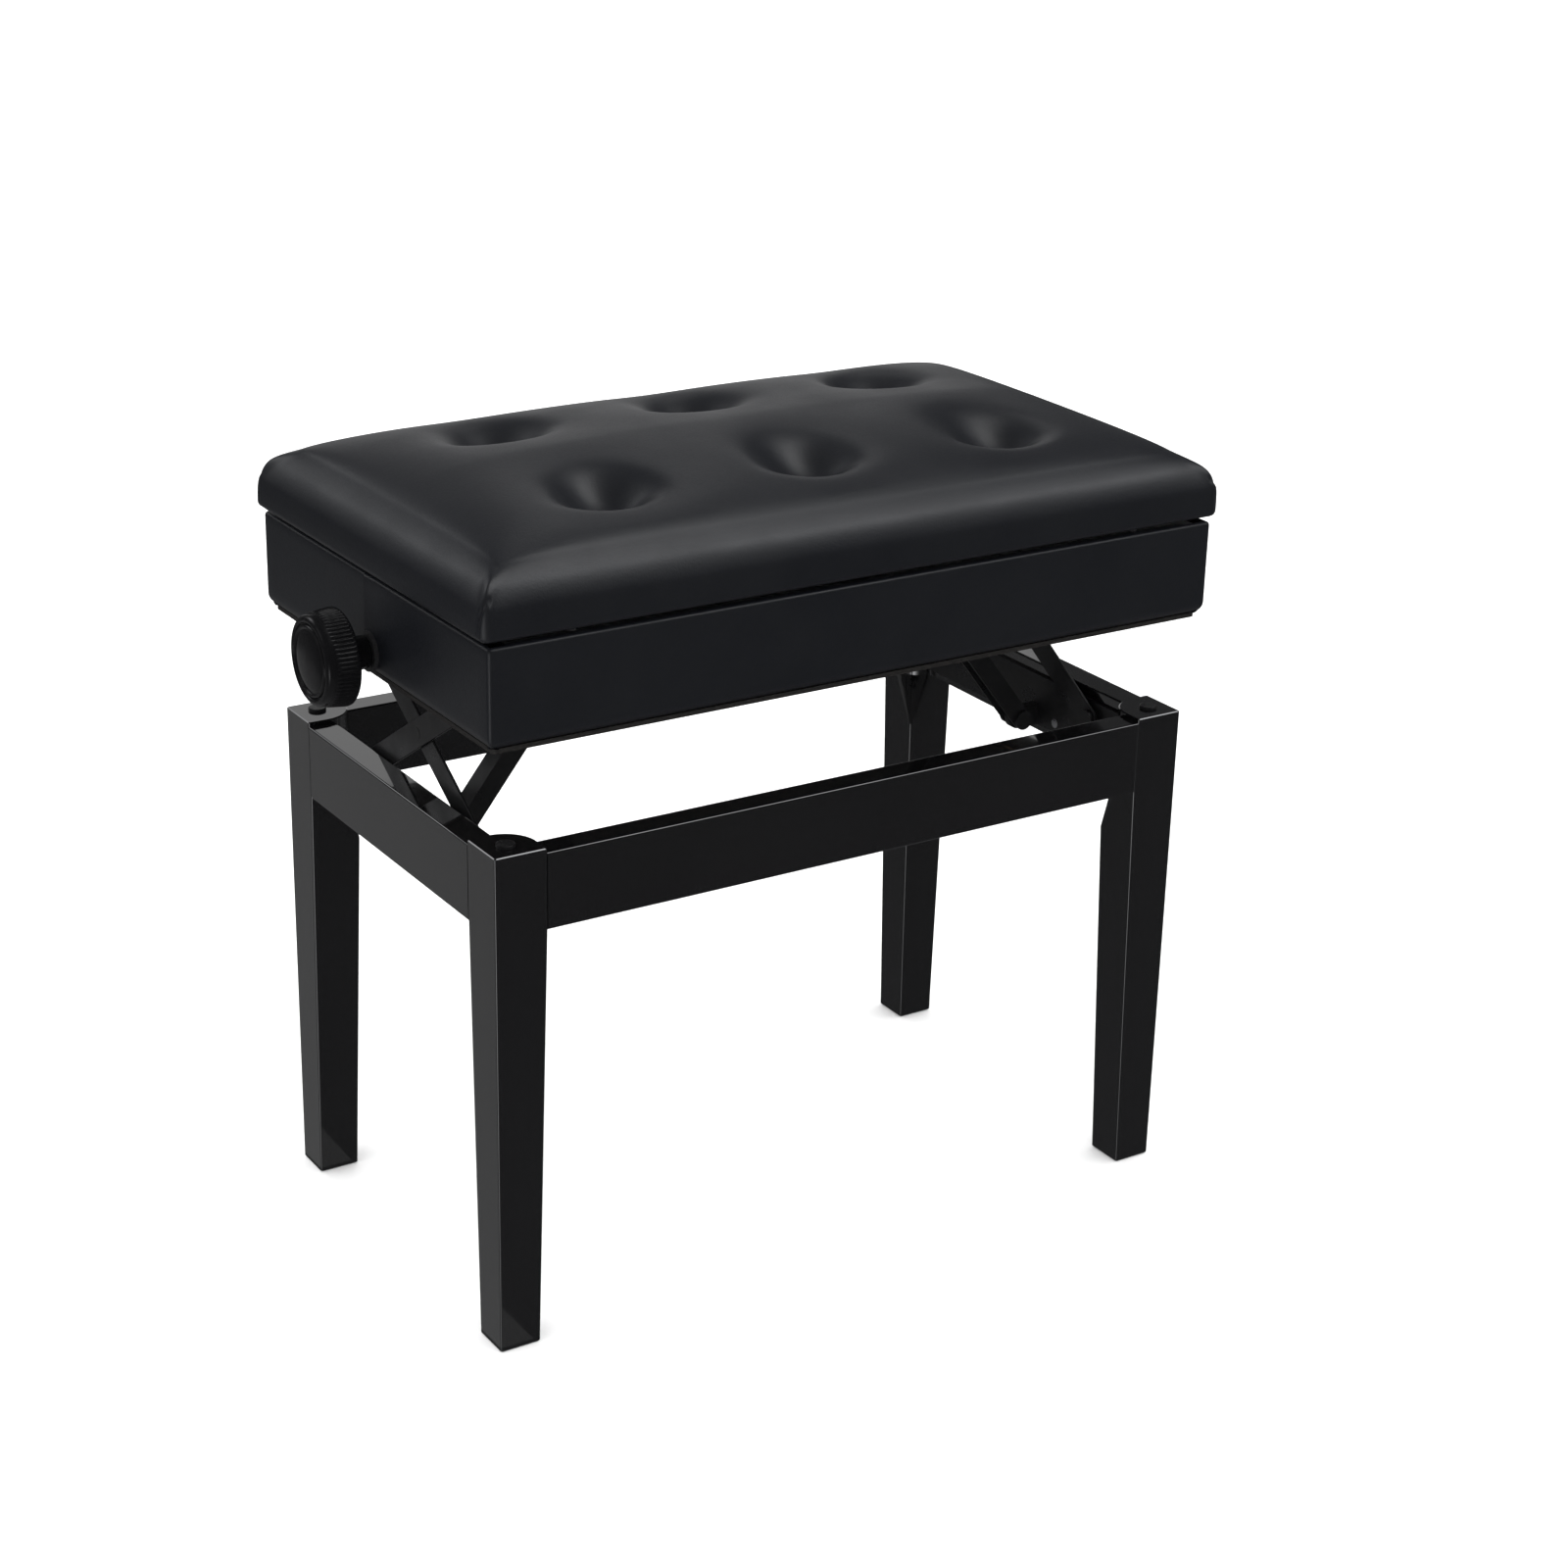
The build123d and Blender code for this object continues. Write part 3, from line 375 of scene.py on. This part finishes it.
knob_turn = np.linspace(0, 2 * math.pi, rib_count * spokes_per_rib, endpoint=False)
knob_flute = rib_depth * (0.5 - 0.5 * np.cos(rib_count * knob_turn)) ** 1.5
knob_reach = knob_line[:, 1:] - rib_reach[:, None] * knob_flute[None, :]
spindle_z = 500 * (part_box("spindle")[0].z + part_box("spindle")[1].z)
knob_end = 314.0
for side, name in ((-1, "knob_left"), (1, "knob_right")):
    knob_rows = np.stack([np.broadcast_to(side * knob_line[:, :1], knob_reach.shape),
                          knob_reach * np.cos(knob_turn),
                          spindle_z + knob_reach * np.sin(knob_turn)], axis=-1)
    knob = fill_skin("hand_" + name, knob_rows, (side * knob_line[0, 0], 0, spindle_z),
                     (side * knob_end, 0, spindle_z))
    knob.data.materials.append(knob_plastic)
    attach(knob, "spindle")
    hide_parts(name)

# ---- box cover ----
# One strip of black leatherette stretched round the four box panels, rolled under their
# lower edge and folded over the rim. Its ends lap in an upright seam behind the left knob.
leatherette = new_finish("black_leatherette", (0.0030, 0.0036, 0.0056), 0.36, Specular_IOR_Level=0.4,
                         Coat_Weight=0.08, Coat_Roughness=0.3)
hide_place = add_node(leatherette, "TexCoord").outputs["Object"]
hide_wander = add_node(leatherette, "TexNoise", Vector=hide_place, Scale=420.0, Detail=2.0).outputs["Color"]
hide_bent = add_node(leatherette, "MixRGB", {"blend_type": "ADD"}, Fac=0.0012, Color1=hide_place,
                     Color2=hide_wander).outputs["Color"]
hide_cells = add_node(leatherette, "TexVoronoi", {"feature": "SMOOTH_F1"}, Vector=hide_bent, Scale=820.0,
                      Smoothness=0.6).outputs["Distance"]
hide_pebble = spread(leatherette, hide_cells, 1.0, 0.0, 0.1, 0.75)
hide_soft = noise_on(leatherette, hide_place, 210.0, 3.0, 0.55)
hide_broad = noise_on(leatherette, hide_place, 22.0, 3.0)
feed(leatherette, "Base Color", two_tone(leatherette, hide_broad, (0.0026, 0.0032, 0.0052),
                                         (0.0038, 0.0046, 0.0070)))
hide_satin = add_node(leatherette, "Math", {"operation": "MULTIPLY_ADD"})
leatherette.node_tree.links.new(hide_pebble, hide_satin.inputs[0])
hide_satin.inputs[1].default_value = -0.05
leatherette.node_tree.links.new(spread(leatherette, hide_broad, 0.41, 0.48), hide_satin.inputs[2])
feed(leatherette, "Roughness", hide_satin.outputs["Value"])
hide_waves = relief(leatherette, hide_soft, 0.00016, 0.35)
feed(leatherette, "Normal", relief(leatherette, hide_pebble, 0.00005, 0.6, hide_waves))

box_low_corner, box_high_corner = (np.array(corner) * 1000 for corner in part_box("box_cover"))
box_half_x, box_half_y = box_high_corner[:2]
box_low, box_top = box_low_corner[2], box_high_corner[2]
corner_round = 3.0
lower_round = 8.0
rim_round = 2.6
rim_step = 6.0
rim_inset = 13.5
strip_thick = 1.5
seam_y = 6.5
seam_depth = 1.3
seam_width = 0.6
lap_rise = 1.1
lap_fade = 10.0
strip_slack = 0.12


def arc_line(centre, radius, start, end, count):
    """Points of a circular arc from one angle to another, in degrees."""
    turn = np.radians(np.linspace(start, end, count))
    return np.stack([centre[0] + radius * np.cos(turn), centre[1] + radius * np.sin(turn)], axis=-1)


def round_rectangle(half_x, half_y, radius, side_steps, corner_steps, dense=()):
    """Right round a rectangle with rounded corners, with extra points on the left side at the dense places.
    Gives the points and the outward directions."""
    spots, ways = [], []
    for sign_x, sign_y, first in ((1, 1, 0), (-1, 1, 90), (-1, -1, 180), (1, -1, 270)):
        arc = arc_line((sign_x * (half_x - radius), sign_y * (half_y - radius)), radius, first, first + 90,
                       corner_steps)
        turn = np.radians(np.linspace(first, first + 90, corner_steps))
        spots.append(arc)
        ways.append(np.stack([np.cos(turn), np.sin(turn)], axis=-1))
        along = np.linspace(0, 1, side_steps + 1)[1:-1]
        run = {0: half_x, 90: half_y, 180: half_x, 270: half_y}[first] - radius
        along = -run + 2 * run * along
        if first == 90:
            along = np.unique(np.concatenate([along, -np.asarray(dense)]))
        line = {0: (-along, 0 * along + half_y), 90: (0 * along - half_x, -along),
                180: (along, 0 * along - half_y), 270: (0 * along + half_x, along)}[first]
        spots.append(np.stack(line, axis=-1))
        way = {0: (0, 1), 90: (-1, 0), 180: (0, -1), 270: (1, 0)}[first]
        ways.append(np.broadcast_to(way, (len(along), 2)))
    return np.concatenate(spots), np.concatenate(ways)


roll_steps = 8
rim_steps = 6
side_z = np.linspace(box_low + lower_round, box_top - rim_round, 12)[1:-1]
strip_line = np.concatenate([  # inset from the cover's face, height
    arc_line((lower_round, box_low + lower_round), lower_round, 270, 180, roll_steps),
    np.stack([0 * side_z, side_z], axis=-1),
    arc_line((rim_round, box_top - rim_round), rim_round, 180, 90, rim_steps),
    [(rim_step, box_top), (rim_inset, box_top), (rim_inset, box_top - strip_thick),
     (rim_step, box_top - strip_thick), (strip_thick, box_top - strip_thick)],
    np.stack([0 * side_z + strip_thick, side_z], axis=-1)[::-1],
    arc_line((lower_round, box_low + lower_round), lower_round - strip_thick, 180, 270, roll_steps)])
seam_spots = seam_y + np.concatenate([np.linspace(-3, 3, 25), np.linspace(-16, -4, 9)])
face_spots, face_ways = round_rectangle(box_half_x, box_half_y, corner_round, 26, 7, seam_spots)
outer_count = roll_steps + len(side_z) + rim_steps + 2
strip_flat = np.interp(strip_line[:, 0], [0, rim_round, lower_round], [1, 0.6, 0])
strip_flat *= np.arange(len(strip_line)) < outer_count
past_seam = face_spots[:, 1] - seam_y
on_left = face_spots[:, 0] < -box_half_x + 0.01
seam_dip = -seam_depth * np.exp(-(past_seam / seam_width) ** 2)
seam_lap = lap_rise * np.exp(-np.maximum(-past_seam, 0) / lap_fade) * (past_seam < 0)
seam_push = (seam_dip + seam_lap) * on_left
slack = strip_slack * np.sin(face_spots[:, 0] / 31.0 + 1.1) * np.sin(face_spots[:, 1] / 23.0 + 0.4)
strip_push = strip_flat[:, None] * (seam_push + slack)[None, :] - strip_line[:, :1]
strip_reach = face_spots[None, :, :] + face_ways[None, :, :] * strip_push[:, :, None]
strip_rows = np.concatenate([strip_reach, np.broadcast_to(strip_line[:, 1][:, None, None],
                                                          strip_push.shape + (1,))], axis=-1)
box_cover = fill_skin("box_leather", strip_rows)
box_cover.data.materials.append(leatherette)
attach(box_cover, "seat")
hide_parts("box_cover")

# ---- lid lining ----
# Black non-woven cloth over the lid board's underside, inside the turned-in edge of the
# cover, stapled down all round. The pads on the box rim are cut from the same kind of cloth.
lining_low, lining_high = (np.array(corner) * 1000 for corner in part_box("lid_lining"))
lining_steps = (96, 56)
lining_thick = 0.45
lining_gap = 0.25
lining_slack = 0.12
lining_fade = 9.0
lining_x, lining_y = np.meshgrid(np.linspace(lining_low[0], lining_high[0], lining_steps[0]),
                                 np.linspace(lining_low[1], lining_high[1], lining_steps[1]))
lining_ease = np.minimum(lining_high[0] - abs(lining_x), lining_high[1] - abs(lining_y))
lining_ease = lining_ease.clip(0, lining_fade) / lining_fade
lining_wave = lining_slack * lining_ease * np.sin(lining_x / 37.0) * np.sin(lining_y / 29.0 + 0.7)
lining_face = lining_high[2] - lining_gap - lining_thick + lining_wave
lining_index = np.arange(lining_x.size).reshape(lining_x.shape)
lining_quads = np.stack([lining_index[:-1, :-1], lining_index[1:, :-1], lining_index[1:, 1:],
                         lining_index[:-1, 1:]], axis=-1).reshape(-1, 4)
lining_mesh = bpy.data.meshes.new("lid_cloth")
lining_points = np.stack([lining_x, lining_y, lining_face], axis=-1).reshape(-1, 3)
lining_mesh.from_pydata((lining_points * 0.001).tolist(), [], lining_quads.tolist())
lid_cloth = bpy.data.objects.new("lid_cloth", lining_mesh)
bpy.context.scene.collection.objects.link(lid_cloth)
cloth_wall = lid_cloth.modifiers.new("thickness", "SOLIDIFY")
cloth_wall.thickness = lining_thick * 0.001
cloth_wall.offset = -1.0
felt = new_finish("non_woven_cloth", (0.015, 0.015, 0.016), 0.9, Specular_IOR_Level=0.2, Sheen_Weight=0.3)
felt_place = add_node(felt, "TexCoord").outputs["Object"]
felt_fibre = noise_on(felt, felt_place, 1500.0, 5.0, 0.75)
felt_dots = add_node(felt, "TexVoronoi", Vector=felt_place, Scale=420.0).outputs["Distance"]
feed(felt, "Base Color", two_tone(felt, felt_fibre, (0.008, 0.008, 0.009), (0.034, 0.034, 0.036)))
feed(felt, "Normal", relief(felt, felt_dots, 0.00012, 0.5, relief(felt, felt_fibre, 0.0001, 0.5)))
lining_mesh.materials.append(felt)
coat_pieces(felt, "lid_bumpers")
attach(lid_cloth, "lid")
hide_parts("lid_lining")

# ---- lid cushion ----
# A foam pad on the lid board under stretched leatherette, pulled down by six hidden ties
# into soft hollows, folded in one pleat at each corner and turned in under the board.
lid_high = np.array(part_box("cushion_cover")[1]) * 1000
lid_half_x, lid_half_y = lid_high[:2]
board_top = 1000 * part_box("lid_board")[1].z
lid_corner = 7.0
flat_inset = 20.0
hem_round = 4.0
tuft_x = (-148.0, 0.0, 148.0)
tuft_y = (-81.0, 61.0)
tuft_depth = 22.0
tuft_width = 28.0
tuft_front = 20.0
tuft_back = 35.0
tuft_flatness = 1.25
tie_hold = 11.0
swell_cap = 2.5
side_cap = 0.8
cap_height = 505.0
held_height = 494.0
cloth_frames = 20
ease_passes = 12
side_top = 500.0
shoulder_rise = 9.5
shoulder_reach = 9.0
crown_rise = 41.0
crown_reach = 50.0


def closing_steps(half):
    """Places along a side, about 5 mm apart, closing up to 1.3 mm towards both corners."""
    near = np.cumsum([0] + [1.3] * 9 + [1.8, 2.4, 3.1, 4.0])
    rest = np.linspace(near[-1], half, max(2, round((half - near[-1]) / 5.0)) + 1)[1:]
    inward = half - np.concatenate([near, rest])
    return np.concatenate([-inward, inward[-2::-1]])


def crown(x, y, inset):
    """Height of the cushion's top. It rises from the side's top by a quarter ellipse and by a crown closing
    up exponentially with the inset from the edge, less a square term that levels it on the middle line. The
    inset is softened across the corners to the square root of one over the sum of the two inverse squares.
    Round each tie it sinks by the depth over e to a power, twice the flatness, of the distance in tuft
    widths, which differ sideways, to the front and to the back."""
    in_x = np.maximum(lid_half_x - abs(x), 0.01)
    in_y = np.maximum(lid_half_y - abs(y), 0.01)
    soft = (in_x ** -2.0 + in_y ** -2.0) ** -0.5
    deep = inset + (soft - inset) * np.clip(inset / flat_inset, 0, 1)
    up_round = 1 - np.clip(deep / shoulder_reach, 0, 1)
    height = side_top + shoulder_rise * np.sqrt(1 - up_round ** 2)
    level = deep ** 2 / (2 * lid_half_y * crown_reach) * math.exp(-lid_half_y / crown_reach)
    height = height + crown_rise * (1 - np.exp(-deep / crown_reach) - level)
    for middle_x in tuft_x:
        for middle_y in tuft_y:
            tuft_reach = np.where(y < middle_y, tuft_front, tuft_back)
            away = ((x - middle_x) / tuft_width) ** 2 + ((y - middle_y) / tuft_reach) ** 2
            height = height - tuft_depth * np.exp(-away ** tuft_flatness)
    return height


across_x = closing_steps(lid_half_x - flat_inset)
across_y = closing_steps(lid_half_y - flat_inset)
top_x, top_y = np.meshgrid(across_x, across_y)
top_in = np.minimum(lid_half_x - abs(top_x), lid_half_y - abs(top_y))
top_points = np.stack([top_x, top_y, crown(top_x, top_y, top_in)], axis=-1)
top_index = np.arange(top_x.size).reshape(top_x.shape)
edge_index = np.concatenate([top_index[0, :-1], top_index[:-1, -1], top_index[-1, :0:-1],
                             top_index[:0:-1, 0]])
edge_x = top_x.reshape(-1)[edge_index]
edge_y = top_y.reshape(-1)[edge_index]


def edge_ring(inset, height=None):
    """One ring of the cushion's side. The flat top's edge is scaled out to the inset, then points in a
    corner's square are drawn in along the line to its centre, onto the corner's arc."""
    ring_x = edge_x * (lid_half_x - inset) / (lid_half_x - flat_inset)
    ring_y = edge_y * (lid_half_y - inset) / (lid_half_y - flat_inset)
    radius = max(lid_corner - inset, 0.4)
    centre_x = lid_half_x - inset - radius
    centre_y = lid_half_y - inset - radius
    over_x = np.maximum(abs(ring_x) - centre_x, 0)
    over_y = np.maximum(abs(ring_y) - centre_y, 0)
    reach = np.hypot(over_x, over_y)
    both = (over_x > 0) & (over_y > 0)
    pull = np.where(both, radius / np.maximum(reach, 1e-6), 1.0)
    ring_x = np.where(both, np.sign(ring_x) * (centre_x + over_x * pull), ring_x)
    ring_y = np.where(both, np.sign(ring_y) * (centre_y + over_y * pull), ring_y)
    ring_z = crown(ring_x, ring_y, inset) if height is None else np.full(ring_x.shape, height)
    return np.stack([ring_x, ring_y, ring_z], axis=-1)


hem_low = 1000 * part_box("cushion_cover")[0].z
hem_thick = 1.4
hem_reach = 20.0
hide_thick = 1.45
shoulder_insets = (16.5, 13.3, 10.6, 8.3, 6.3, 4.6, 3.2, 2.1, 1.2, 0.6, 0.2)
side_heights = (side_top, 498.0, 495.5, 492.5, 489.5, 487.0, hem_low + hem_round)
under_line = [*arc_line((hem_round, hem_low + hem_round), hem_round, 198, 270, 5), (9.0, hem_low),
              (hem_reach, hem_low), (hem_reach, hem_low + hem_thick), (9.0, hem_low + hem_thick),
              *arc_line((hem_round, hem_low + hem_round), hem_round - hide_thick, 270, 180, 4),
              (hide_thick, board_top + 0.1)]
rings = [edge_ring(inset) for inset in shoulder_insets] + [edge_ring(0, height) for height in side_heights]
rings += [edge_ring(inset, height) for inset, height in under_line]
cushion_points = np.concatenate([top_points.reshape(-1, 3), *rings, [[0, 0, board_top + 0.1]]])
ring_index = top_x.size + np.arange(len(rings) * len(edge_index)).reshape(len(rings), -1)
ladder = np.vstack([edge_index[None, :], ring_index])
ladder_next = np.roll(ladder, -1, axis=1)
top_faces = np.stack([top_index[:-1, :-1], top_index[:-1, 1:], top_index[1:, 1:], top_index[1:, :-1]],
                     axis=-1).reshape(-1, 4)
side_faces = np.stack([ladder[:-1], ladder[1:], ladder_next[1:], ladder_next[:-1]], axis=-1).reshape(-1, 4)
last = len(cushion_points) - 1
base_faces = np.stack([ladder[-1], np.full(len(edge_index), last), ladder_next[-1]], axis=-1)
cushion_mesh = bpy.data.meshes.new("lid_cushion")
cushion_mesh.from_pydata((cushion_points * 0.001).tolist(), [],
                         top_faces.tolist() + side_faces.tolist() + base_faces.tolist())
cushion_mesh.polygons.foreach_set("use_smooth", np.ones(len(cushion_mesh.polygons), bool))
cushion = bpy.data.objects.new("lid_cushion", cushion_mesh)
bpy.context.scene.collection.objects.link(cushion)

tie_away = np.min([np.hypot(cushion_points[:, 0] - x, cushion_points[:, 1] - y)
                   for x in tuft_x for y in tuft_y], axis=0)
held = (cushion_points[:, 2] < held_height) | (tie_away < tie_hold)
grip = cushion.vertex_groups.new(name="held")
grip.add(np.flatnonzero(held).tolist(), 1.0, "REPLACE")
stuffing = cushion.modifiers.new("stuffing", "CLOTH")
stuffing.settings.quality = 5
stuffing.settings.mass = 0.3
stuffing.settings.tension_stiffness = 15
stuffing.settings.compression_stiffness = 15
stuffing.settings.shear_stiffness = 5
stuffing.settings.bending_stiffness = 6.0
stuffing.settings.use_pressure = True
stuffing.settings.uniform_pressure_force = 4.0
stuffing.settings.effector_weights.gravity = 0.0
stuffing.settings.vertex_group_mass = "held"
stuffing.collision_settings.use_collision = False
stuffing.point_cache.frame_start = 1
stuffing.point_cache.frame_end = cloth_frames
for step in range(1, cloth_frames + 1):
    bpy.context.scene.frame_set(step)
swollen = cushion.evaluated_get(bpy.context.evaluated_depsgraph_get()).to_mesh()
swollen_points = np.zeros(len(cushion_points) * 3)
swollen.vertices.foreach_get("co", swollen_points)
swell = swollen_points.reshape(-1, 3) * 1000 - cushion_points
size = np.maximum(np.linalg.norm(swell, axis=1, keepdims=True), 1e-6)
cap = np.where(cushion_points[:, 2:] > cap_height, swell_cap, side_cap)
swell = swell / size * cap * np.tanh(size / cap)
ends = np.zeros(len(cushion_mesh.edges) * 2, int)
cushion_mesh.edges.foreach_get("vertices", ends)
ends = ends.reshape(-1, 2)
reached = np.bincount(ends.reshape(-1), minlength=len(cushion_points))[:, None]
for _ in range(ease_passes):
    gathered = np.zeros_like(swell)
    np.add.at(gathered, ends[:, 0], swell[ends[:, 1]])
    np.add.at(gathered, ends[:, 1], swell[ends[:, 0]])
    swell = np.where(cushion_points[:, 2:] < held_height, swell, gathered / reached)
cushion_points = cushion_points + swell
cushion.modifiers.remove(stuffing)
bpy.context.scene.frame_set(1)

fold_low = 6.5
fold_depth = 1.7
fold_width = 0.9
flap_rise = 1.0
flap_fade = 5.0
fold_top = (508.0, 520.0)
fold_end = 26.0
fold_heights = (hem_low, 492.0, 502.0, 512.0)
fold_insets = (fold_low, fold_low - 0.6, 4.0, 2.0)
hem_clear = 0.3
outer_rings = len(shoulder_insets) + len(side_heights) + 3
from_side = lid_half_y - abs(cushion_points[:, 1])
past_fold = from_side - np.interp(cushion_points[:, 2], fold_heights, fold_insets)
corner_x = abs(cushion_points[:, 0]) - (lid_half_x - lid_corner)
corner_y = abs(cushion_points[:, 1]) - (lid_half_y - lid_corner)
fold_share = np.interp(cushion_points[:, 2], fold_top, [1, 0]) * (cushion_points[:, 2] > hem_low + hem_clear)
outside = np.arange(last + 1) < ring_index[outer_rings, 0]
fold_share *= (corner_x > 0) & (from_side < fold_end) & outside
fold_push = -fold_depth * np.exp(-(past_fold / fold_width) ** 2)
fold_push += flap_rise * np.exp(np.minimum(past_fold, 0) / flap_fade) * (past_fold < 0)
fold_way = np.stack([np.sign(cushion_points[:, 0]) * np.maximum(corner_x, 0),
                     np.sign(cushion_points[:, 1]) * np.maximum(corner_y, 0), 0 * corner_x], axis=-1)
fold_way /= np.maximum(np.linalg.norm(fold_way, axis=1, keepdims=True), 1e-6)
cushion_points = cushion_points + fold_way * (fold_push * fold_share)[:, None]
cushion_mesh.vertices.foreach_set("co", (cushion_points * 0.001).reshape(-1))
cushion_mesh.update()
cushion_soft = cushion.modifiers.new("smooth", "SUBSURF")
cushion_soft.levels = 1
cushion_soft.render_levels = 1
cushion_mesh.materials.append(leatherette)
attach(cushion, "lid")
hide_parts("cushion_cover", "cushion_foam")
